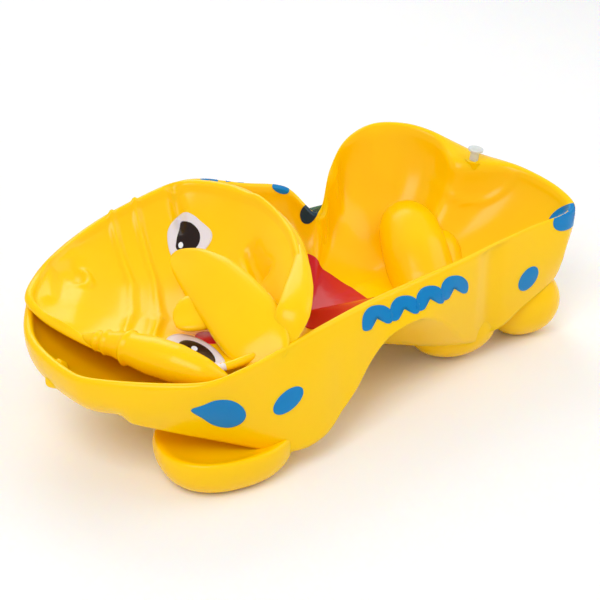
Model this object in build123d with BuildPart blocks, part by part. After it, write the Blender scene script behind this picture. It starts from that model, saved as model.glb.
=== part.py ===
from build123d import *
import os
from math import hypot

# A ride-on hopper animal in soft vinyl, let down and collapsed: the upper skin is pushed into the
# lower skin, which leaves two boat-like hollows joined at the saddle, and the head is folded down
# into the front hollow. Millimetres, X from muzzle (-) to rump (+), Y to the far side, Z up, and the
# floor at Z = 0. Every piece of the one moulding is divided at a natural fold, crease or colour edge.

# Driving dimensions
SKIN = 3.0            # wall of the moulded vinyl
SEAM = 0.2            # gap between neighbouring pieces of the same body
FREE = 0.8            # gap between pieces that move against each other
FOLD_GAP = 2.6        # gap under a fold that stands on the pushed-in skin
WAIST_X = 40.0        # where the chest half meets the rump half
PLUG_STEM = 4.5       # radius of the stopper's stem
PLUG_FLANGE = 7.8     # radius of the stopper's flange
BORE_GAP = 0.1        # radial clearance of the stem in its seat
TOP_Z = 260.0         # above everything
WIDE = 600.0          # wider than everything

BODY_CENTRE = (0.0, 5.0)
HEAD_CENTRE = (-140.0, 5.0)

# The fold line round both hollows, where the upper skin turns over into the lower skin
BODY_RIM = [
    (-277, 31, 112), (-271, -36, 106), (-251, -75, 108), (-183, -128, 112), (-115, -141, 116),
    (-35, -124, 120), (23, -115, 122), (82, -108, 124), (178, -87, 128), (270, -58, 132),
    (277, -21, 142), (261, 25, 152), (236, 69, 158), (206, 109, 172), (181, 129, 178),
    (151, 140, 178), (122, 142, 165), (91, 120, 148), (60, 92, 120), (40, 122, 140),
    (-6, 131, 152), (-64, 141, 165), (-120, 141, 155), (-165, 136, 145), (-218, 110, 134),
    (-242, 97, 126),
]
# The edge of the folded head, from the muzzle along the far side, the nape and the near cheek
HEAD_RIM = [
    (-250, 58, 126), (-220, 93, 134), (-171, 119, 146), (-126, 127, 156), (-74, 126, 163),
    (-45, 104, 163), (-24, 76, 160), (-10, 26, 156), (-23, -25, 150), (-50, -78, 142),
    (-86, -112, 130), (-110, -122, 122), (-141, -120, 117), (-174, -100, 112), (-201, -68, 110),
    (-229, -25, 112), (-248, 14, 118), (-256, 38, 122),
]
# Heights of the skins along the middle, as (x, z)
KEEL = [(-280, 46), (-200, 42), (-150, 34), (-100, 22), (0, 24), (50, 36), (90, 26), (130, 18),
        (180, 20), (230, 34), (280, 58)]
HOLLOW = [(-280, 62), (-200, 54), (-100, 46), (-50, 52), (0, 66), (30, 74), (60, 66), (100, 50),
          (180, 46), (230, 60), (280, 84)]
HEAD_BACK = [(-260, 104), (-220, 96), (-140, 90), (-80, 94), (-30, 108), (0, 124)]
FACE = [(-260, 112), (-220, 104), (-140, 99), (-80, 104), (-30, 120), (0, 136)]
# How a skin runs from its rim to its middle, as (share of the way in, share of the way down)
BASIN_STEPS = [(0.0, 0.06), (0.04, 0.22), (0.1, 0.44), (0.2, 0.68), (0.38, 0.88), (0.65, 0.99)]
DISH_STEPS = [(0.0, 0.05), (0.08, 0.25), (0.2, 0.5), (0.4, 0.78), (0.65, 0.95)]


def height(profile, x):
    """Height of a profile of (x, z) points at x, level beyond its ends."""
    for (x0, z0), (x1, z1) in zip(profile, profile[1:]):
        if x <= x1:
            return z0 + (z1 - z0) * max(0.0, (x - x0) / (x1 - x0))
    return profile[-1][1]


def ring(rim, centre, floor, inward, down, inset=0.0, lift=0.0):
    """The points of one level of a basin, between its rim and its middle."""
    points = []
    for x, y, z in rim:
        reach = hypot(centre[0] - x, centre[1] - y)
        share = inward + inset * (1 - inward) / reach
        px = x + share * (centre[0] - x)
        py = y + share * (centre[1] - y)
        points.append((px, py, z + down * (height(floor, px) - z) + lift * down))
    return points


def triangle(a, b, c):
    """A flat three-cornered face."""
    return Face(Wire.make_polygon([Vector(*a), Vector(*b), Vector(*c)], close=True))


def facets(start, rings, end):
    """A closed solid of flat facets through rings of points, pointed at both ends."""
    pairs = list(zip(range(len(rings[0])), [*range(1, len(rings[0])), 0]))
    faces = []
    for low, high in zip(rings, rings[1:]):
        for i, j in pairs:
            faces.append(triangle(low[i], low[j], high[j]))
            faces.append(triangle(low[i], high[j], high[i]))
    for i, j in pairs:
        faces.append(triangle(start, rings[0][j], rings[0][i]))
        faces.append(triangle(end, rings[-1][i], rings[-1][j]))
    return Solid(Shell(Face.sew_faces(faces)[0]))


def basin(rim, centre, floor, steps, inset=0.0, skin=SKIN):
    """A thin open basin that hangs from a rim, inset from it, skin thick."""
    middle = height(floor, centre[0])
    outside = [ring(rim, centre, floor, f, d, inset) for f, d in steps]
    fold = ring(rim, centre, floor, 0, 0, inset + skin / 2)
    inside = [ring(rim, centre, floor, f, d, inset + skin, skin) for f, d in steps]
    return facets((*centre, middle), [*reversed(outside), fold, *inside], (*centre, middle + skin))


def filled(rim, centre, floor, steps, inset=0.0, lift=0.0):
    """Everything above a basin's surface, closed by a tent high over its rim."""
    rings = [ring(rim, centre, floor, f, d, inset, lift) for f, d in steps]
    start = (*centre, height(floor, centre[0]) + lift)
    return facets(start, [*reversed(rings)], (*centre, TOP_Z))


def egg(centre, radii, turn=0.0, lean=0.0):
    """A solid egg of three radii, leant about its own length and then turned about the vertical."""
    return Pos(*centre) * Rot(0, 0, turn) * Rot(lean, 0, 0) * scale(Sphere(1), by=radii)


def capsule(start, end, radius):
    """A round-ended rod between two points."""
    a = Vector(*start)
    b = Vector(*end)
    rod = Plane(origin=a, z_dir=b - a) * Cylinder(
        radius, (b - a).length, align=(Align.CENTER, Align.CENTER, Align.MIN))
    return rod + Pos(*start) * Sphere(radius) + Pos(*end) * Sphere(radius)


def finish(piece, name):
    """Label a finished piece and write it."""
    piece.part.label = name
    export_step(piece.part, f"parts/{name}.step")


os.makedirs("parts", exist_ok=True)

# ---- Volumes that the pieces are cut from and cut by ----
lower_skin = basin(BODY_RIM, BODY_CENTRE, KEEL, BASIN_STEPS)
upper_skin = basin(BODY_RIM, BODY_CENTRE, HOLLOW, BASIN_STEPS, SKIN + SEAM)
hull = filled(BODY_RIM, BODY_CENTRE, KEEL, BASIN_STEPS, -SEAM, -SEAM)
hull_air = filled(BODY_RIM, BODY_CENTRE, KEEL, BASIN_STEPS, SKIN + SEAM, SKIN + SEAM)
hollow_air = filled(BODY_RIM, BODY_CENTRE, HOLLOW, BASIN_STEPS, 2 * SKIN + FOLD_GAP, SKIN + FOLD_GAP)
face_skin = basin(HEAD_RIM, HEAD_CENTRE, FACE, DISH_STEPS, SKIN + SEAM)

# The rim's outline in plan, as (x, y), along each side
near_edge = [(x, y) for x, y, z in BODY_RIM[1:10]]
far_edge = [(x, y) for x, y, z in reversed(BODY_RIM[11:])]


def prism(points):
    """A tall upright block over a closed outline."""
    return extrude(make_face(Polyline(*points, close=True)), TOP_Z)


def upright(centre, radii, turn=0.0):
    """A tall upright oval column, for a mark on a skin that faces up."""
    return Pos(*centre) * Rot(0, 0, turn) * extrude(Ellipse(*radii), TOP_Z)


def level(centre, radius, reach=30.0):
    """A round bar across the body, for a mark on a side wall."""
    return Pos(*centre) * Rot(90, 0, 0) * Cylinder(radius, reach)


def block(across):
    """A block that holds everything on one side of the waist."""
    return Pos(WAIST_X, 0, 0) * Box(WIDE, WIDE, WIDE, align=(across, Align.CENTER, Align.CENTER))


def roll(points, radius):
    """A soft fold as a chain of round-ended rods."""
    body = capsule(points[0], points[1], radius)
    for start, end in zip(points[1:], points[2:]):
        body = body + capsule(start, end, radius)
    return body


# ---- Where the marks, folds and limbs lie ----
DOT_PITCH = 22.0      # spacing of the dots of the printed bands
DOT_RADII = (8.5, 6.5)
DOT_INSET = 10.0      # from the rim to the middle of a band dot
NEAR_BAND_X = -4.0    # first dot of the band on the near rim
FAR_BAND_X = -40.0    # first dot of the band on the far rim
near_x = [NEAR_BAND_X + DOT_PITCH * k for k in range(6)]
far_x = [FAR_BAND_X + DOT_PITCH * k for k in range(3)]
near_dots = [upright((x, height(near_edge, x) + DOT_INSET), DOT_RADII) for x in near_x]
far_dots = [upright((x, height(far_edge, x) - DOT_INSET), DOT_RADII) for x in far_x]
TAIL_RADIUS = 26.0    # of the pad round the valve
chest_spots = [level((-168, -118, 88), 15), level((-112, -125, 90), 12)]
rump_spot = level((200, -80, 90), 11)
corner_spot = Pos(267, -58, 130) * Sphere(15)
fold_spot = Pos(28, 118, 142) * Sphere(9)
wall_spot = level((57, 98, 105), 9)
saddle_zone = upright((24, 0), (30, 84))
chest_half = block(Align.MAX)
rump_half = block(Align.MIN)
tail_zone = roll([(250, 60, 150), (205, 40, 95)], TAIL_RADIUS)

VALVE = Plane(origin=(222, 52, 160), z_dir=(0.1055, -0.061, 0.9925))
SEAT_RADIUS = 9.5
SEAT_DEPTH = 24.0
STEM_IN = 16.0        # of the stem inside the seat, as it lies
STEM_OUT = 10.0       # of the stem above the seat, as it lies
FLANGE_THICK = 1.8
valve_zone = VALVE * Cylinder(SEAT_RADIUS + SEAM, 3 * SEAT_DEPTH)

LEG = [(148, -5, 40), (168, 80, 86)]
LEG_RADIUS = 24.0
NECK = [(-62, -12, 66), (-52, 50, 68)]
NECK_RADIUS = 21.0
leg_outside = roll(LEG, LEG_RADIUS)
leg_inside = roll(LEG, LEG_RADIUS - SKIN)
neck_outside = roll(NECK, NECK_RADIUS)
neck_inside = roll(NECK, NECK_RADIUS - SKIN)

# Feet as eggs: centre, radii and turn
FEET = {
    "front_near_foot": ((-136, -88, 28), (66, 46, 31), -18),
    "front_far_foot": ((-115, 62, 26), (44, 36, 28), 10),
    "rear_near_foot": ((226, -36, 40), (42, 32, 42), -12),
    "rear_far_foot": ((135, 88, 30), (40, 34, 32), 8),
    "near_haunch": ((140, -42, 38), (44, 30, 32), -16),
}

# The square tab under the chin, its middle and its size
CHIN = (-268, -14, 92)
CHIN_SIZE = (12, 14, 20)

# Head: the band of the bridle crosses the face between two bent edges
band_front = [(-143, 150), (-159, 66), (-196, -5), (-236, -90)]
band_rear = [(-118, 150), (-136, 61), (-174, -16), (-206, -110)]
band_zone = prism([*band_front, *reversed(band_rear)])
muzzle_zone = prism([*band_front, (-300, -90), (-300, 150)])
face_zone = prism([*band_rear, (60, -150), (60, 150)])
CHEEK = [(-236, 2, 118), (-200, -55, 115), (-168, -94, 117)]
CHEEK_RADIUS = 12.5
cheek_outside = roll(CHEEK, CHEEK_RADIUS)
cheek_inside = roll(CHEEK, CHEEK_RADIUS - SKIN)
cheek_clear = roll(CHEEK, CHEEK_RADIUS + SEAM)
near_white_zone = upright((-150, -62), (24, 12), -24)
near_pupil_zone = upright((-146, -64), (12, 9), -24)
near_glint_zone = upright((-150, -60), (3, 3))
far_white_zone = upright((-78, 84), (23, 15), -20)
far_pupil_zone = upright((-76, 82), (12, 11), -20)
far_glint_zone = upright((-80, 86), (3, 3))
near_leaf = egg((-111, -38, 142), (66, 24, 8), 105.8, -28)
far_leaf = egg((-118, -4, 121), (46, 19, 6), 7.5)
head_under = basin(HEAD_RIM, HEAD_CENTRE, HEAD_BACK, DISH_STEPS)

# ---- Lower skin ----
with BuildPart() as lower_skin_front:
    add(lower_skin)
    add(chest_half, mode=Mode.INTERSECT)
    add([*chest_spots, fold_spot], mode=Mode.SUBTRACT)
finish(lower_skin_front, "lower_skin_front")

with BuildPart() as lower_skin_rear:
    add(lower_skin)
    add(rump_half, mode=Mode.INTERSECT)
    add([rump_spot, corner_spot], mode=Mode.SUBTRACT)
finish(lower_skin_rear, "lower_skin_rear")

# ---- Upper skin, pushed in ----
with BuildPart() as chest_hollow:
    add(upper_skin)
    add(chest_half, mode=Mode.INTERSECT)
    add([saddle_zone, *near_dots, *far_dots, fold_spot], mode=Mode.SUBTRACT)
finish(chest_hollow, "chest_hollow")

with BuildPart() as rump_hollow:
    add(upper_skin)
    add(rump_half, mode=Mode.INTERSECT)
    add([saddle_zone, *near_dots, wall_spot, tail_zone, corner_spot, valve_zone],
        mode=Mode.SUBTRACT)
finish(rump_hollow, "rump_hollow")

with BuildPart() as saddle:
    add(upper_skin)
    add(saddle_zone, mode=Mode.INTERSECT)
    add(near_dots, mode=Mode.SUBTRACT)
finish(saddle, "saddle")

with BuildPart() as tail_disc:
    add(upper_skin)
    add(tail_zone, mode=Mode.INTERSECT)
    add([valve_zone, corner_spot], mode=Mode.SUBTRACT)
finish(tail_disc, "tail_disc")

with BuildPart() as inverted_leg:
    add(leg_outside)
    add(leg_inside, mode=Mode.SUBTRACT)
    add(hollow_air, mode=Mode.INTERSECT)
finish(inverted_leg, "inverted_leg")

with BuildPart() as neck_fold:
    add(neck_outside)
    add(neck_inside, mode=Mode.SUBTRACT)
    add(hollow_air, mode=Mode.INTERSECT)
finish(neck_fold, "neck_fold")

# ---- Printed marks ----
with BuildPart() as near_band_print:
    add(upper_skin)
    with BuildPart(mode=Mode.PRIVATE) as dots:
        add(near_dots)
    add(dots.part, mode=Mode.INTERSECT)
finish(near_band_print, "near_band_print")

with BuildPart() as far_band_print:
    add(upper_skin)
    with BuildPart(mode=Mode.PRIVATE) as dots:
        add(far_dots)
    add(dots.part, mode=Mode.INTERSECT)
finish(far_band_print, "far_band_print")

with BuildPart() as side_spots:
    add(lower_skin)
    with BuildPart(mode=Mode.PRIVATE) as spots:
        add([*chest_spots, rump_spot])
    add(spots.part, mode=Mode.INTERSECT)
finish(side_spots, "side_spots")

with BuildPart() as rim_spots:
    add(lower_skin)
    add(upper_skin)
    with BuildPart(mode=Mode.PRIVATE) as spots:
        add([corner_spot, fold_spot])
    add(spots.part, mode=Mode.INTERSECT)
finish(rim_spots, "rim_spots")

with BuildPart() as inner_spot:
    add(upper_skin)
    add(wall_spot, mode=Mode.INTERSECT)
finish(inner_spot, "inner_spot")

# ---- Feet and chin tab ----
for name, (centre, radii, turn) in FEET.items():
    lobe = egg(centre, radii, turn)
    with BuildPart() as foot:
        add(lobe)
        split(bisect_by=Plane.XY, keep=Keep.TOP)
        add(hull, mode=Mode.SUBTRACT)
    finish(foot, name)

with BuildPart() as chin_tab:
    with Locations(CHIN):
        Box(*CHIN_SIZE)
    add(hull, mode=Mode.SUBTRACT)
finish(chin_tab, "chin_tab")

# ---- Head ----
with BuildPart() as head_back:
    add(head_under)
    add(cheek_clear, mode=Mode.SUBTRACT)
finish(head_back, "head_back")

with BuildPart() as muzzle:
    add(face_skin)
    add(muzzle_zone, mode=Mode.INTERSECT)
    add(cheek_clear, mode=Mode.SUBTRACT)
finish(muzzle, "muzzle")

with BuildPart() as noseband:
    add(face_skin)
    add(band_zone, mode=Mode.INTERSECT)
    add(cheek_clear, mode=Mode.SUBTRACT)
finish(noseband, "noseband")

with BuildPart() as face_dish:
    add(face_skin)
    add(face_zone, mode=Mode.INTERSECT)
    add([cheek_clear, near_white_zone, far_white_zone], mode=Mode.SUBTRACT)
finish(face_dish, "face_dish")

with BuildPart() as cheek_roll:
    add(cheek_outside)
    add(cheek_inside, mode=Mode.SUBTRACT)
finish(cheek_roll, "cheek_roll")

for side, white_zone, pupil_zone, glint_zone in (
        ("near", near_white_zone, near_pupil_zone, near_glint_zone),
        ("far", far_white_zone, far_pupil_zone, far_glint_zone)):
    with BuildPart() as eye_white:
        add(face_skin)
        add(white_zone, mode=Mode.INTERSECT)
        add([pupil_zone, cheek_clear], mode=Mode.SUBTRACT)
    finish(eye_white, f"{side}_eye_white")
    with BuildPart() as pupil:
        add(face_skin)
        add(pupil_zone, mode=Mode.INTERSECT)
        add([glint_zone, cheek_clear], mode=Mode.SUBTRACT)
    finish(pupil, f"{side}_pupil")
    with BuildPart() as glint:
        add(face_skin)
        add(glint_zone, mode=Mode.INTERSECT)
    finish(glint, f"{side}_glint")

# ---- Ears ----
with BuildPart() as near_ear:
    add(near_leaf)
finish(near_ear, "near_ear")

with BuildPart() as far_ear:
    add(far_leaf)
finish(far_ear, "far_ear")

# ---- Valve ----
with BuildPart() as valve_seat:
    with BuildSketch(VALVE):
        Circle(SEAT_RADIUS)
        Circle(PLUG_STEM + BORE_GAP, mode=Mode.SUBTRACT)
    extrude(amount=-SEAT_DEPTH)
    add(hull_air, mode=Mode.INTERSECT)
finish(valve_seat, "valve_seat")

with BuildPart() as valve_plug:
    with BuildSketch(VALVE.offset(-STEM_IN)):
        Circle(PLUG_STEM)
    extrude(amount=STEM_IN + STEM_OUT)
    with BuildSketch(VALVE.offset(STEM_OUT)):
        Circle(PLUG_FLANGE)
    extrude(amount=FLANGE_THICK)
finish(valve_plug, "valve_plug")
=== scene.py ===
import bpy
import numpy as np
from math import radians
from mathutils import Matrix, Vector
from mathutils.bvhtree import BVHTree


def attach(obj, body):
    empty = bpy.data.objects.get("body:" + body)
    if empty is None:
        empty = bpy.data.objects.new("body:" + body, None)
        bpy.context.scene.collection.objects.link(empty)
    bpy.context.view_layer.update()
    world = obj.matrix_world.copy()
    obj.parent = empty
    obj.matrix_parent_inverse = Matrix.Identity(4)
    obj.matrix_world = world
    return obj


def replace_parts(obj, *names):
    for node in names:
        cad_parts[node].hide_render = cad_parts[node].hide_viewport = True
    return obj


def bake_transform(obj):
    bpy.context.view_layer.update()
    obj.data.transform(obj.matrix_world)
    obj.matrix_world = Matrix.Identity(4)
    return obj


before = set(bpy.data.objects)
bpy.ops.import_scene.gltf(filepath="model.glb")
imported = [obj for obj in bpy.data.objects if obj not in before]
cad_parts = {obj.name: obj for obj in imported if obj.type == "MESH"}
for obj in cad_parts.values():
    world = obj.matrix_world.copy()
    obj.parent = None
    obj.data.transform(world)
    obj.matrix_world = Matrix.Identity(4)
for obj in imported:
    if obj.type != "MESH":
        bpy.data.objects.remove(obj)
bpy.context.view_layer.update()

# A ride-on hopper animal in glossy vinyl, let down and collapsed. Lengths are in millimetres in the
# frame's axes (X muzzle to rump, Y to the far side, Z up) and become metres when a mesh is made.
MM = 0.001
CURVE_STEPS = 24      # points between two given points of a curve
BLUR = (-24, -12, 0, 12, 24)  # offsets over which a profile's corners are rounded
NEAR_MIDDLE = 0.985   # share of the way in at which a skin's rings stop
JUST_INSIDE = 0.03    # share of the way in at which a hollow's rings start

# The fold line round both hollows, from the muzzle end along the near side to the rump and back
BODY_RIM = [
    (-277, 31, 112), (-271, -34, 106), (-251, -72, 108), (-186, -122, 111), (-145, -126, 114),
    (-107, -119, 116), (-72, -112, 119), (-34, -104, 121), (-1, -97, 122), (45, -89, 123),
    (84, -82, 124), (127, -76, 126), (171, -67, 128), (217, -60, 130), (270, -54, 133),
    (277, -24, 142), (261, 25, 152), (236, 69, 158), (206, 109, 172), (181, 129, 178),
    (151, 140, 178), (122, 142, 165), (91, 120, 148), (60, 92, 120), (40, 122, 140),
    (-6, 131, 152), (-64, 141, 165), (-120, 141, 155), (-165, 136, 145), (-218, 110, 134),
    (-242, 97, 126),
]
BODY_CENTRE = (0.0, 5.0)
KEEL = [(-280, 46), (-200, 42), (-150, 34), (-100, 22), (0, 24), (50, 36), (90, 26), (130, 18),
        (180, 20), (230, 34), (280, 58)]
HOLLOW = [(-280, 62), (-200, 54), (-100, 46), (-50, 52), (0, 66), (30, 74), (60, 66), (100, 50),
          (180, 46), (230, 60), (280, 84)]
# The lower fold of the near wall, where it turns under, from the muzzle end to the rump end
NEAR_FOLD = [
    (-271, -44, 86), (-251, -74, 78), (-202, -98, 60), (-148, -118, 40), (-102, -136, 22),
    (-61, -132, 25), (-31, -122, 44), (6, -104, 84), (40, -102, 98), (78, -96, 94),
    (110, -84, 60), (138, -70, 26), (170, -68, 26), (202, -68, 50), (234, -66, 60), (277, -50, 74),
]
WALL_SHARE = 0.5      # of the outer rings, above the fold
# The edge of the folded head, from the muzzle along the far side, the nape and the near cheek
HEAD_RIM = [
    (-262, 66, 129), (-236, 98, 133), (-203, 120, 139), (-162, 133, 149), (-122, 138, 158),
    (-76, 139, 166), (-48, 122, 168), (-22, 90, 165), (-12, 46, 160), (-14, 0, 155),
    (-26, -38, 149), (-45, -70, 140), (-68, -94, 127), (-95, -104, 117), (-125, -106, 111),
    (-152, -102, 108), (-178, -86, 107), (-203, -62, 107), (-229, -25, 110), (-250, 14, 116),
    (-261, 43, 122),
]
HEAD_CENTRE = (-140.0, 5.0)
HEAD_BACK = [(-260, 104), (-220, 96), (-140, 90), (-80, 94), (-30, 108), (0, 124)]
FACE = [(-260, 118), (-220, 110), (-140, 100), (-80, 102), (-30, 118), (0, 136)]
# The direction from the usual viewpoint, and its right and up, for marks that are laid on from there
LOOK = np.array((0.433, 0.75, -0.5))
RIGHT = np.array((0.866, -0.5, 0.0))
UP = np.cross(RIGHT, LOOK)
VALVE = np.array((222.0, 52.0, 160.0))


# ---- Curves and grids ----
def spline(points, count, closed=False):
    """Points evenly spaced along a smooth curve through the given ones."""
    p = np.array(points, float)
    n = len(p)
    spans = n if closed else n - 1
    out = []
    for k in range(spans):
        if closed:
            a, b, c, d = p[(k - 1) % n], p[k], p[(k + 1) % n], p[(k + 2) % n]
        else:
            a, b, c, d = p[max(k - 1, 0)], p[k], p[k + 1], p[min(k + 2, n - 1)]
        t = np.linspace(0, 1, CURVE_STEPS, endpoint=False)[:, None]
        m0 = (c - a) / 2
        m1 = (d - b) / 2
        out.append((2 * t**3 - 3 * t**2 + 1) * b + (t**3 - 2 * t**2 + t) * m0
                   + (-2 * t**3 + 3 * t**2) * c + (t**3 - t**2) * m1)
    fine = np.vstack([*out, p[:1] if closed else p[-1:]])
    run = np.concatenate([[0], np.cumsum(np.linalg.norm(np.diff(fine, axis=0), axis=1))])
    at = np.linspace(0, run[-1], count, endpoint=not closed)
    return np.stack([np.interp(at, run, fine[:, i]) for i in range(fine.shape[1])], 1)


def smooth_profile(profile, x):
    """Height of a profile of (x, z) points at each x, rounded at its corners."""
    px, pz = np.array(profile, float).T
    return np.mean([np.interp(x + s, px, pz) for s in BLUR], axis=0)


def grid_normals(grid):
    """Unit normals of a (rings, around, 3) grid that is closed around."""
    du = np.roll(grid, -1, 1) - np.roll(grid, 1, 1)
    dv = np.gradient(grid, axis=0)
    n = np.cross(du, dv)
    return n / np.maximum(np.linalg.norm(n, axis=2, keepdims=True), 1e-9)


def along(points, line):
    """Distance from each point to a polyline in plan, and how far along it, 0 to 1."""
    line = np.array(line, float)[:, :2]
    best = np.full(len(points), 1e9)
    where = np.zeros(len(points))
    seg = np.linalg.norm(np.diff(line, axis=0), axis=1)
    start = np.concatenate([[0], np.cumsum(seg)])
    for k in range(len(seg)):
        a, b = line[k], line[k + 1]
        t = np.clip(((points[:, :2] - a) @ (b - a)) / seg[k]**2, 0, 1)
        d = np.linalg.norm(points[:, :2] - (a + t[:, None] * (b - a)), axis=1)
        closer = d < best
        best[closer] = d[closer]
        where[closer] = (start[k] + t[closer] * seg[k]) / start[-1]
    return best, where


def bell(distance, width):
    """1 at no distance, fading to 0 at a few widths."""
    return np.exp(-(distance / width)**2)


def step(value, low, high):
    """0 below low, 1 above high, smooth between."""
    t = np.clip((value - low) / (high - low), 0, 1)
    return t * t * (3 - 2 * t)


def mesh_object(name, points, faces, material):
    """A mesh object from points in millimetres."""
    mesh = bpy.data.meshes.new(name)
    mesh.from_pydata([tuple(p) for p in np.asarray(points) * MM], [], faces)
    mesh.update()
    mesh.validate()
    obj = bpy.data.objects.new(name, mesh)
    bpy.context.collection.objects.link(obj)
    mesh.materials.append(material)
    mesh.polygons.foreach_set("use_smooth", [True] * len(mesh.polygons))
    return obj


def closed_grid(name, start, grid, end, material):
    """A closed mesh from a grid of rings, pointed at both ends."""
    rings, around, _ = grid.shape
    points = np.vstack([[start], grid.reshape(-1, 3), [end]])
    faces = []
    for r in range(rings - 1):
        for k in range(around):
            a = 1 + r * around + k
            b = 1 + r * around + (k + 1) % around
            faces.append((a, b, b + around, a + around))
    last = 1 + (rings - 1) * around
    for k in range(around):
        m = (k + 1) % around
        faces.append((0, 1 + m, 1 + k))
        faces.append((len(points) - 1, last + k, last + m))
    return mesh_object(name, points, faces, material)


# ---- Materials ----
def vinyl(name, colour, deep, roughness=0.22):
    """Glossy soft vinyl: a faint cloudy tint and a slight ripple."""
    material = bpy.data.materials.new(name)
    material.use_nodes = True
    nodes = material.node_tree.nodes
    links = material.node_tree.links
    shader = nodes["Principled BSDF"]
    place = nodes.new("ShaderNodeTexCoord")
    cloud = nodes.new("ShaderNodeTexNoise")
    cloud.inputs["Scale"].default_value = 9.0
    cloud.inputs["Detail"].default_value = 3.0
    links.new(place.outputs["Object"], cloud.inputs["Vector"])
    tint = nodes.new("ShaderNodeMix")
    tint.data_type = "RGBA"
    tint.inputs["A"].default_value = (*colour, 1)
    tint.inputs["B"].default_value = (*deep, 1)
    links.new(cloud.outputs["Fac"], tint.inputs["Factor"])
    links.new(tint.outputs["Result"], shader.inputs["Base Color"])
    ripple = nodes.new("ShaderNodeTexNoise")
    ripple.inputs["Scale"].default_value = 55.0
    ripple.inputs["Detail"].default_value = 2.0
    links.new(place.outputs["Object"], ripple.inputs["Vector"])
    bump = nodes.new("ShaderNodeBump")
    bump.inputs["Strength"].default_value = 0.05
    bump.inputs["Distance"].default_value = 0.002
    links.new(ripple.outputs["Fac"], bump.inputs["Height"])
    links.new(bump.outputs["Normal"], shader.inputs["Normal"])
    shader.inputs["Roughness"].default_value = roughness
    shader.inputs["Specular IOR Level"].default_value = 0.22
    shader.inputs["Subsurface Weight"].default_value = 0.25
    shader.inputs["Subsurface Radius"].default_value = (1.0, 0.45, 0.05)
    shader.inputs["Subsurface Scale"].default_value = 0.012
    return material


yellow = vinyl("yellow_vinyl_gloss", (1.0, 0.62, 0.0), (1.0, 0.56, 0.0))
red = vinyl("red_saddle_gloss", (0.72, 0.012, 0.02), (0.62, 0.01, 0.015))
blue = vinyl("blue_print_gloss", (0.0, 0.23, 0.56), (0.0, 0.20, 0.48))
eye_white = vinyl("eye_white_gloss", (0.90, 0.80, 0.78), (0.86, 0.74, 0.72))
pupil_brown = vinyl("pupil_brown_gloss", (0.02, 0.008, 0.006), (0.012, 0.006, 0.005))
glint_white = vinyl("glint_white_gloss", (0.95, 0.95, 0.95), (0.92, 0.92, 0.92))
# A nearly black copy of the blue print: painted shade for a blue spot in a shadowed hollow
shaded_blue_print = vinyl("blue_print_painted_shade", (0.02, 0.05, 0.08), (0.015, 0.04, 0.06))
clear = vinyl("clear_stopper", (0.86, 0.90, 0.90), (0.80, 0.86, 0.86), 0.18)
clear.node_tree.nodes["Principled BSDF"].inputs["Transmission Weight"].default_value = 0.35


# ---- Body skin ----
AROUND = 420
WALL = 44
RIM_RADIUS = 4.5
ROLL_RINGS = 7
LEDGE = 25.0          # extra width of the rim's ledge under the valve
LEDGE_REACH = 30.0
WAIST_X = 32.0        # middle of the shallow near side of the waist
WAIST_REACH = 58.0
BULGE = 4.0           # how far the near wall swells between its rim and its lower fold
PAD_RADIUS = 44.0     # of the round pad about the valve


def basin_ring(rim, centre, floor, inward, down, inset=0.0, lift=0.0):
    """One level of a basin between its rim and its middle; down may differ around the rim."""
    to_middle = np.array(centre) - rim[:, :2]
    reach = np.linalg.norm(to_middle, axis=1)
    share = inward + inset * (1 - inward) / reach
    xy = rim[:, :2] + share[:, None] * to_middle
    z = rim[:, 2] + down * (smooth_profile(floor, xy[:, 0]) - rim[:, 2]) + lift
    return np.column_stack([xy, z])


def rim_roll(rim, centre, radius, rise, steps=ROLL_RINGS):
    """The rounded fold: rings over the top of the rim from outside to inside."""
    rings = []
    for turn in np.linspace(0, np.pi, steps):
        inset = radius * (1 - np.cos(turn))
        lift = rise * np.sin(turn)
        rings.append(basin_ring(rim, centre, [(-300, 0), (300, 0)], 0, 0, inset, lift))
    return rings


def waist_weight(rim):
    """How much a place round the rim belongs to the shallow near side of the waist."""
    return bell(rim[:, 0] - WAIST_X, WAIST_REACH) * (rim[:, 1] < 0)


def near_fold(rim):
    """The lower fold of the near wall below each place round the rim, and how much it counts."""
    x, y, z = np.array(NEAR_FOLD, float).T
    spread = np.linspace(-20, 20, 9)
    fold_y = np.mean([np.interp(rim[:, 0] + s, x, y) for s in spread], axis=0)
    fold_z = np.mean([np.interp(rim[:, 0] + s, x, z) for s in spread], axis=0)
    counts = step(-rim[:, 1], 5, 70) * step(rim[:, 0], -276, -225) * step(-rim[:, 0], -277, -258)
    return np.column_stack([rim[:, 0], fold_y, fold_z]), counts


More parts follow.
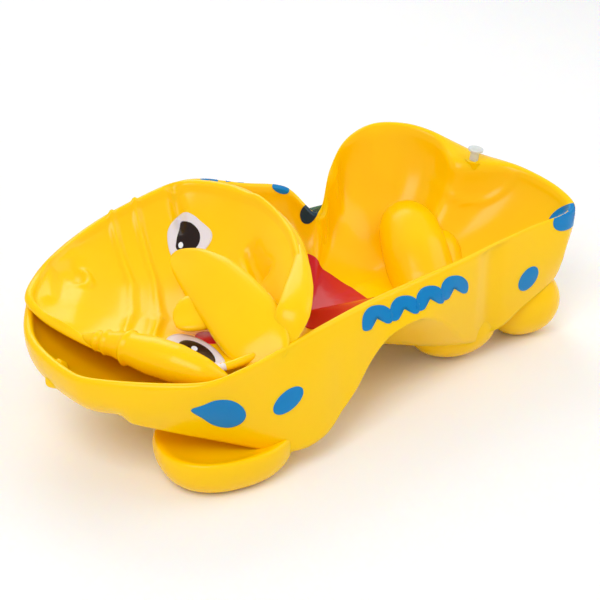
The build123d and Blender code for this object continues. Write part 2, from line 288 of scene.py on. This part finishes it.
def body_grid():
    """Rings from the middle of the keel, up the outside, over the rim and into the hollows."""
    rim = spline(BODY_RIM, AROUND, closed=True)
    waist = waist_weight(rim)
    fold, counts = near_fold(rim)
    outside = []
    for t in np.linspace(0, NEAR_MIDDLE, WALL):
        plain = basin_ring(rim, BODY_CENTRE, KEEL, t**2.3, 1 - (1 - t)**2.7)
        if t < WALL_SHARE:
            s = t / WALL_SHARE
            folded = rim + s * (fold - rim)
            folded[:, 1] -= BULGE * np.sin(np.pi * s) * (1 - waist)
        else:
            s = (t - WALL_SHARE) / (1 - WALL_SHARE)
            turned_in = (1 - waist) * (1 - (1 - s)**2.2) + waist * s**1.8
            folded = basin_ring(fold, BODY_CENTRE, KEEL, s**1.25, turned_in)
        outside.append(plain + counts[:, None] * (folded - plain))
    # the rim widens to a ledge under the valve
    from_valve = np.linalg.norm(rim[:, :2] - VALVE[:2], axis=1)
    ledge = RIM_RADIUS + LEDGE * bell(from_valve, LEDGE_REACH)
    inside = []
    for t in np.linspace(JUST_INSIDE, NEAR_MIDDLE, WALL):
        inward = t**1.7
        down = 1 - (1 - t)**2.0
        slack = 0.95 * inward**0.85
        inside.append(basin_ring(rim, BODY_CENTRE, HOLLOW, inward,
                                 (1 - waist) * down + waist * slack, 2 * ledge))
    roll = rim_roll(rim, BODY_CENTRE, ledge, RIM_RADIUS)[1:-1]
    return np.array([*reversed(outside), *roll, *inside])


def press(grid, rows, line, width, height, lean=None, seen=False):
    """Raise (or sink) the skin along a line, in plan or as seen along LOOK; lean is a direction."""
    part = grid[rows].reshape(-1, 3)
    normals = grid_normals(grid)[rows].reshape(-1, 3) if lean is None else np.array(lean)
    flat = np.column_stack([part @ RIGHT, part @ UP, part[:, 2]]) if seen else part
    away, where = along(flat, line)
    away = np.where(seen & (part[:, 1] < 0), 1e3, away)
    amount = np.interp(where, np.linspace(0, 1, len(height)), height) * bell(away, width)
    grid[rows] = (part + amount[:, None] * normals).reshape(grid[rows].shape)


OUTER = slice(0, WALL)
INNER = slice(WALL + 5, 2 * WALL + 5)


def body_features(grid):
    """The limbs turned inside out, the pads, creases and soft dents of the collapsed skin."""
    press(grid, INNER, [(66, -30), (78, 10)], 20, [9, 7], (0, 0, 1))
    press(grid, INNER, [(96, 112), (120, 60)], 16, [7, 2])
    press(grid, INNER, [(150, 126), (160, 118)], 12, [4, 4])
    pad = [(VALVE @ RIGHT + PAD_RADIUS * np.cos(a), VALVE @ UP + PAD_RADIUS * np.sin(a))
           for a in np.linspace(-3.3, 0.3, 16)]
    press(grid, INNER, pad, 2.2, [0, 2.2, 2.2, 2.2, 0], (-0.43, -0.75, 0.5), seen=True)
    press(grid, OUTER, [(66, 100), (52, 84)], 9, [-6, -10])
    press(grid, OUTER, [(150, -78), (176, -52)], 8, [-3, -9])
    press(grid, OUTER, [(-60, -135), (-20, -110)], 9, [0, -3, 0])


grid = body_grid()
body_features(grid)
start = (*BODY_CENTRE, grid[0, :, 2].mean())
end = (*BODY_CENTRE, grid[-1, :, 2].mean())
body_skin = closed_grid("body_skin", start, grid, end, yellow)
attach(body_skin, "body")
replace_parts(body_skin, "lower_skin_front", "lower_skin_rear", "chest_hollow", "rump_hollow",
            "tail_disc")


# ---- Feet and haunches ----
def egg(name, centre, radii, turn=0.0, dent=0.0, square=2.0, full=1.0, around=72, rings=44):
    """A soft lobe; dent hollows its top, square above 2 makes it boxier in plan, full under 1 in height."""
    angles = np.linspace(0, 2 * np.pi, around, endpoint=False)
    c, s = np.cos(angles), np.sin(angles)
    reach = (np.abs(c)**square + np.abs(s)**square)**(-1 / square)
    out = []
    for lat in np.linspace(-np.pi / 2, np.pi / 2, rings)[1:-1]:
        x = radii[0] * np.cos(lat)**full * c * reach
        y = radii[1] * np.cos(lat)**full * s * reach
        hollow = dent * max(0.0, np.sin(lat))**2
        z = np.full(around, radii[2] * np.sin(lat) - hollow)
        z = np.where(z < -centre[2], -centre[2] + 0.12 * (z + centre[2]), z)
        out.append(np.column_stack([x, y, z]))
    shape = np.array(out)
    ct, st = np.cos(radians(turn)), np.sin(radians(turn))
    plan = shape[..., :2] @ np.array([[ct, st], [-st, ct]])
    shape = np.concatenate([plan, shape[..., 2:]], axis=2) + np.array(centre)
    low = (*centre[:2], max(shape[0, :, 2].min() - 0.1, 0.0))
    high = (*centre[:2], shape[-1, :, 2].mean())
    shape[..., 2] = np.maximum(shape[..., 2], 0.0)
    lobe_object = closed_grid(name, low, shape, high, yellow)
    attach(lobe_object, "body")
    return lobe_object


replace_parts(egg("front_near_foot_lobe", (-145, -92, 30), (63, 52, 34), -6, dent=34, square=2.3,
                full=0.45), "front_near_foot")
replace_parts(egg("front_far_foot_lobe", (-115, 62, 26), (46, 38, 28), 10, square=2.3),
            "front_far_foot")
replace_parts(egg("rear_near_foot_lobe", (228, -33, 36), (40, 34, 38), -12, square=2.3),
            "rear_near_foot")
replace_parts(egg("rear_far_foot_lobe", (135, 88, 30), (42, 36, 32), 8, square=2.3),
            "rear_far_foot")
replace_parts(egg("near_haunch_lobe", (138, -40, 34), (46, 28, 32), -14), "near_haunch")


# ---- Head ----
HEAD_AROUND = 320
HEAD_WALL = 36


def head_roll(rim):
    """Radius of the head's rolled edge, fuller round the nape."""
    return 4.5 + 2.5 * bell(rim[:, 0] + 12, 40) * (rim[:, 1] > -90)


def head_grid():
    """Rings from the back of the head, over its rolled edge and into the dished face."""
    rim = spline(HEAD_RIM, HEAD_AROUND, closed=True)
    radius = head_roll(rim)
    back = [basin_ring(rim, HEAD_CENTRE, HEAD_BACK, t**1.6, 1 - (1 - t)**2.0)
            for t in np.linspace(0, NEAR_MIDDLE, HEAD_WALL)]
    face = [basin_ring(rim, HEAD_CENTRE, FACE, t**1.35, 1 - (1 - t)**1.7, 2 * radius)
            for t in np.linspace(JUST_INSIDE, NEAR_MIDDLE, HEAD_WALL)]
    roll = rim_roll(rim, HEAD_CENTRE, radius, radius, 11)[1:-1]
    return np.array([*reversed(back), *roll, *face])


DISH = slice(HEAD_WALL + 5, 2 * HEAD_WALL + 9)


def head_features(grid):
    """Bridle noseband, nostril, muzzle arc, brow crease and nape fold."""
    front = [(-146, 142), (-158, 66), (-178, 22), (-196, -5), (-214, -44)]
    rear = [(-120, 142), (-136, 61), (-156, 8), (-176, -22), (-192, -78)]
    middle = [((a[0] + b[0]) / 2, (a[1] + b[1]) / 2) for a, b in zip(front, rear)]
    press(grid, DISH, middle, 11, [1.5] * 3, (0, 0, 1))
    press(grid, DISH, front, 3.4, [4.2] * 3, (0, 0, 1))
    press(grid, DISH, rear, 3.4, [4.2] * 3, (0, 0, 1))
    press(grid, DISH, [(-240, 60), (-226, 96), (-196, 108)], 7, [3, 5, 3], (0, 0, 1))
    press(grid, DISH, [(-238, 22), (-208, 60), (-186, 96)], 16, [4, 5, 4], (0, 0, 1))
    nostril = [(-204 + 9 * np.cos(a), 80 + 13 * np.sin(a)) for a in np.linspace(-2.3, 1.3, 9)]
    press(grid, DISH, nostril, 3.0, [0.5, 4.6, 4.6, 0.5], (0, 0, 1))
    press(grid, DISH, [(-206, 80), (-202, 88)], 6, [-3, -3], (0, 0, 1))
    press(grid, DISH, [(-80, 132), (-84, 112), (-90, 96)], 5.5, [-8, -9, 0], (0, 0, 1))
    press(grid, DISH, [(-22, 60), (-34, 0), (-60, -60), (-84, -104)], 16, [6, 9, 9, 6], (0, 0, 1))
    press(grid, DISH, [(-50, 30), (-58, -6)], 6, [-10, -16], (0, 0, 1))


head = head_grid()
head_features(head)
head_start = (*HEAD_CENTRE, head[0, :, 2].mean())
head_end = (*HEAD_CENTRE, head[-1, :, 2].mean())
head_skin = closed_grid("head_skin", head_start, head, head_end, yellow)
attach(head_skin, "head")
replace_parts(head_skin, "head_back", "muzzle", "noseband", "face_dish")


# ---- Ears, neck and the chin tab ----
def lobe(name, path, widths, thick, up, material, dish=0.0, stations=64, around=48,
         rings_at=(), square=2.0):
    """A soft lobe along a path, rounded at both ends; dish hollows it and rings_at bands it."""
    line = spline(path, stations)
    at = np.linspace(0, 1, stations)
    width = np.interp(at, np.linspace(0, 1, len(widths)), widths)
    depth = np.interp(at, np.linspace(0, 1, len(thick)), thick)
    for place in rings_at:
        width = width + 2.2 * bell(at - place, 0.016)
        depth = depth + 2.2 * bell(at - place, 0.016)
    round_off = np.sqrt(np.clip(1 - (np.abs(at - 0.5) * 2)**6, 0, 1))
    tangent = np.gradient(line, axis=0)
    tangent /= np.linalg.norm(tangent, axis=1, keepdims=True)
    side = np.cross(np.array(up, float), tangent)
    side /= np.linalg.norm(side, axis=1, keepdims=True)
    over = np.cross(tangent, side)
    turn = np.linspace(0, 2 * np.pi, around, endpoint=False)
    c, s = np.cos(turn), np.sin(turn)
    reach = (np.abs(c)**square + np.abs(s)**square)**(-1 / square)
    c, s = c * reach, s * reach
    rings = []
    for k in range(1, stations - 1):
        w, t = width[k] * round_off[k], depth[k] * round_off[k]
        lift = t * s - dish * np.maximum(s, 0) * (1 - c**2) * round_off[k]
        rings.append(line[k] + (w * c)[:, None] * side[k] + lift[:, None] * over[k])
    return closed_grid(name, line[0], np.array(rings), line[-1], material)


TO_VIEW = (-0.43, -0.60, 0.68)
near_ear = lobe("near_ear_lobe",
                [(-106, -119, 108), (-108, -91, 120), (-108, -53, 130),
                 (-110, -17, 137), (-114, 14, 141), (-118, 38, 141), (-121, 54, 140)],
                [27, 31, 32, 30, 27, 20, 12], [9, 12, 13, 12, 11, 8, 5], TO_VIEW, yellow, dish=4)
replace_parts(near_ear, "near_ear")
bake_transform(near_ear)

far_ear = lobe("far_ear_lobe",
               [(-94, -27, 122), (-119, -23, 121), (-142, -22, 120), (-155, -17, 118)],
               [16, 20, 21, 16], [7, 8, 8, 6], (-0.2, -0.3, 0.9), yellow, dish=4)
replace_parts(far_ear, "far_ear")
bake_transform(far_ear)

cheek = lobe("cheek_roll_lobe",
             [(-236, 2, 114), (-230, -10, 115), (-214, -32, 116), (-200, -55, 116),
              (-183, -80, 114), (-166, -102, 110), (-148, -117, 104)],
             [6, 9, 14, 17, 17, 14, 8], [6, 9, 14, 17, 17, 14, 8], (0, 0, 1), yellow,
             rings_at=(0.13, 0.19, 0.34), stations=120)
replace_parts(cheek, "cheek_roll")
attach(cheek, "head")

nape = lobe("nape_flap",
            [(-24, -17, 159), (-45, -55, 153), (-73, -93, 143), (-89, -100, 125),
             (-106, -103, 111), (-124, -104, 102)],
            [3, 8, 13, 15, 13, 10], [3, 4, 5, 5, 5, 5], (-0.40, -0.60, 0.69), yellow)
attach(nape, "head")

leg = lobe("inverted_leg_lobe",
           [(126, -21, 48), (134, 4, 60), (141, 31, 80), (152, 64, 97),
            (164, 92, 106)],
           [33, 34, 34, 31, 23], [24, 26, 26, 22, 15], (-0.3, -0.5, 0.8), yellow)
leg_side = lobe("inverted_leg_side",
                [(150, -11, 50), (162, 16, 64), (171, 36, 80), (180, 54, 86)],
                [24, 25, 23, 17], [18, 20, 18, 12], (-0.3, -0.5, 0.8), yellow)
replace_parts(leg, "inverted_leg")
for fold_piece in (leg, leg_side):
    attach(fold_piece, "body")

tab = lobe("chin_tab_block", [(-260, -1, 98), (-265, -10, 90), (-267, -13, 78)],
           [9, 9, 9], [7, 7, 7], (-0.8, -0.6, 0.1), yellow, square=5, stations=40)
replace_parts(tab, "chin_tab")
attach(tab, "body")

neck = lobe("neck_folds",
            [(-58, 20, 58), (-56, 20, 76), (-50, 20, 92), (-46, 20, 108)],
            [52, 44, 50, 46], [24, 20, 24, 22], (-1, 0, 0.1), yellow)
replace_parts(neck, "neck_fold")
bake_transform(neck)


# ---- Printed marks, laid on the skins ----
def tree(obj):
    """A search tree of an object's mesh, for laying marks on it."""
    return BVHTree.FromPolygons([v.co for v in obj.data.vertices],
                                [p.vertices[:] for p in obj.data.polygons])


SUNK = 0.4            # how deep a print's underside lies in its skin
STAND_OFF = 60.0      # how far before the skin a print's search starts
SEARCH = 0.4          # how far it looks, in metres


def patch(name, centre, outline, skin, body, material, lift=0.35, look=LOOK, right=RIGHT, up=UP,
          fine=12):
    """A thin closed print laid on a skin, seen along look from centre; outline is (right, up)."""
    edge = spline([(x, y, 0) for x, y in outline], 6 * fine, closed=True)[:, :2]
    shares = np.linspace(0, 1, fine + 1)[1:]
    centre = np.array(centre, float)
    flat = [centre] + [centre + s * (x * right + y * up) for s in shares for x, y in edge]
    top, under = [], []
    for p in flat:
        hit, normal, _, _ = skin.ray_cast(Vector((p - STAND_OFF * look) * MM), Vector(look), SEARCH)
        if hit is None:
            hit, normal, _, _ = skin.find_nearest(Vector(p * MM))
        if normal.dot(Vector(look)) > 0:
            normal = -normal
        top.append(np.array(hit + normal * lift * MM) / MM)
        under.append(np.array(hit - normal * SUNK * MM) / MM)
    n = len(edge)
    total = len(flat)
    faces = []
    for k in range(n):
        m = (k + 1) % n
        faces.append((0, 1 + m, 1 + k))
        faces.append((total, total + 1 + k, total + 1 + m))
        for r in range(len(shares) - 1):
            a, b = 1 + r * n + k, 1 + r * n + m
            faces.append((a, b, b + n, a + n))
            faces.append((total + b, total + a, total + a + n, total + b + n))
        a, b = 1 + (len(shares) - 1) * n + k, 1 + (len(shares) - 1) * n + m
        faces.append((a, b, total + b, total + a))
    mark = mesh_object(name, top + under, faces, material)
    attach(mark, body)
    return mark


def oval(a, b, turn=0.0, count=10, point=0.0):
    """An oval outline, turned; point above 0 draws its first end out like a drop."""
    out = []
    for k in range(count):
        angle = 2 * np.pi * k / count
        x = a * np.cos(angle) * (1 + point * (np.cos(angle) > 0.9))
        y = b * np.sin(angle) * (1 - point * max(0.0, np.cos(angle)))
        c, s = np.cos(radians(turn)), np.sin(radians(turn))
        out.append((x * c - y * s, x * s + y * c))
    return out


body_tree = tree(body_skin)
head_tree = tree(head_skin)

down = dict(look=np.array((0, 0, -1.0)), right=np.array((1.0, 0, 0)), up=np.array((0, 1.0, 0)))
saddle = patch("saddle_patch", (22, 2, 120), oval(36, 80, 0), body_tree, "body", red, 0.6,
               fine=48, **down)
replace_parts(saddle, "saddle")

spots = [
    patch("chest_spot_front", (-168, -135, 88), oval(20, 13, 172, point=0.3), body_tree, "body", blue),
    patch("chest_spot_rear", (-112, -150, 90), oval(16, 8, 42), body_tree, "body", blue),
    patch("rump_spot", (200, -80, 90), oval(14, 8, 52), body_tree, "body", blue),
]
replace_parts(spots[0], "side_spots")
corner = patch("rump_corner_spot", (262, -54, 130), oval(19, 11, 35), body_tree, "body", blue)
fold = patch("waist_rim_spot", (32, 118, 145), oval(9, 5, -20), body_tree, "body", blue)
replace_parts(corner, "rim_spots")
# A blue print spot given the nearly black copy of the blue print, as painted shade in the shadowed fold of
# the waist wall
drop = patch("waist_wall_spot", (53, 97, 120), [(11, 10), (-3, 9), (-9, 1), (-7, -8), (0, -10), (7, -3)],
             body_tree, "body", shaded_blue_print)
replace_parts(drop, "inner_spot")

# Generic wave crests along the near and far rims of the waist
crest = [(-13, -10), (-13, 3), (-6, 11), (6, 12), (14, 6), (14, -3), (8, -4), (2, 2), (-3, 0),
         (-5, -9)]
near_crests = [patch(f"near_wave_{k}", place, crest, body_tree, "body", blue)
               for k, place in enumerate([(10, -98, 110), (41, -96, 110), (71, -94, 111), (101, -91, 112)])]
far_crests = [patch(f"far_wave_{k}", place, [(x * size, y * size) for x, y in crest], body_tree,
                    "body", blue)
              for k, (place, size) in enumerate([((-36, 141, 160), 0.6), ((-10, 138, 160), 0.6)])]
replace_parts(near_crests[0], "near_band_print")
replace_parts(far_crests[0], "far_band_print")
sliver = patch("under_ear_red", (-134, -44, 105), oval(12, 5, -8), head_tree, "head", red)

near_white = patch("near_eye_white_print", (-158, -68, 107), oval(31, 13, -26), head_tree, "head",
                   eye_white)
near_pupil = patch("near_pupil_print", (-158, -69, 109), oval(19, 8, -26), head_tree, "head",
                   pupil_brown, 0.6)
near_glint = patch("near_glint_print", (-158, -64, 111), oval(3, 1.8, -20), head_tree, "head",
                   glint_white, 0.85)
FAR_EYE = (-87, 87, 138)
far_white = patch("far_eye_white_print", FAR_EYE,
                  [(-6, 22), (2, 20), (11, 13), (22, 2), (20, -10), (7, -23), (-10, -27),
                   (-18, -17), (-21, 2), (-15, 15)], head_tree, "head", eye_white)
far_pupil = patch("far_pupil_print", FAR_EYE,
                  [(-8, 13), (2, 11), (10, 2), (10, -9), (2, -17), (-11, -15), (-12, -6), (-10, 6)],
                  head_tree, "head", pupil_brown, 0.6)
far_glint = patch("far_glint_print", (-101, 78, 134), oval(2.4, 3, 0), head_tree, "head",
                  glint_white, 0.85)
for mark, node, finish in (
        (near_white, "near_eye_white", "eye_white_paint"), (near_pupil, "near_pupil", "pupil_paint"),
        (near_glint, "near_glint", "eye_white_paint"), (far_white, "far_eye_white", "eye_white_paint"),
        (far_pupil, "far_pupil", "pupil_paint"), (far_glint, "far_glint", "eye_white_paint")):
    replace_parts(mark, node)


# ---- Floor, light and camera ----
FLOOR = 6000.0        # half the floor's side
LAMP_AIM = (0, 0, 60)
# name, place, side and power in watts
LAMPS = [
    ("key", (-900, -700, 1500), 900, 13),
    ("fill", (1200, -500, 1100), 1200, 6.5),
    ("back", (300, 1400, 1300), 1100, 9.5),
]
CAMERA_PLACE = (-622.2, -1054, 790)
CAMERA_AIM = (-16, -4, 90)
LENS = 88.4
SENSOR = 36


def studio():
    """A pale floor, soft lights and the camera."""
    corners = [(-FLOOR, -FLOOR, 0), (FLOOR, -FLOOR, 0), (FLOOR, FLOOR, 0), (-FLOOR, FLOOR, 0)]
    mesh_object("floor", corners, [(0, 1, 2, 3)], floor_white)
    for name, place, size, power in LAMPS:
        light = bpy.data.lights.new(name, "AREA")
        light.shape = "SQUARE"
        light.size = size * MM
        light.energy = power
        lamp = bpy.data.objects.new(name, light)
        bpy.context.collection.objects.link(lamp)
        lamp.location = Vector(place) * MM
        aim = Vector(LAMP_AIM) * MM - lamp.location
        lamp.rotation_euler = aim.to_track_quat("-Z", "Y").to_euler()
    world = bpy.data.worlds.new("studio")
    bpy.context.scene.world = world
    world.use_nodes = True
    world.node_tree.nodes["Background"].inputs["Color"].default_value = (1, 1, 1, 1)
    world.node_tree.nodes["Background"].inputs["Strength"].default_value = 0.6
    bpy.context.scene.view_settings.view_transform = "Standard"
    lens = bpy.data.cameras.new("camera")
    lens.lens = LENS
    lens.sensor_width = SENSOR
    camera = bpy.data.objects.new("camera", lens)
    bpy.context.collection.objects.link(camera)
    camera.location = Vector(CAMERA_PLACE) * MM
    aim = Vector(CAMERA_AIM) * MM - camera.location
    camera.rotation_euler = aim.to_track_quat("-Z", "Y").to_euler()
    bpy.context.scene.camera = camera


for node, finish in (("valve_seat", yellow), ("valve_plug", clear)):
    bpy.data.objects[node].data.materials[0] = finish

floor_white = vinyl("floor_white", (0.93, 0.93, 0.93), (0.92, 0.92, 0.92), 0.7)
studio()
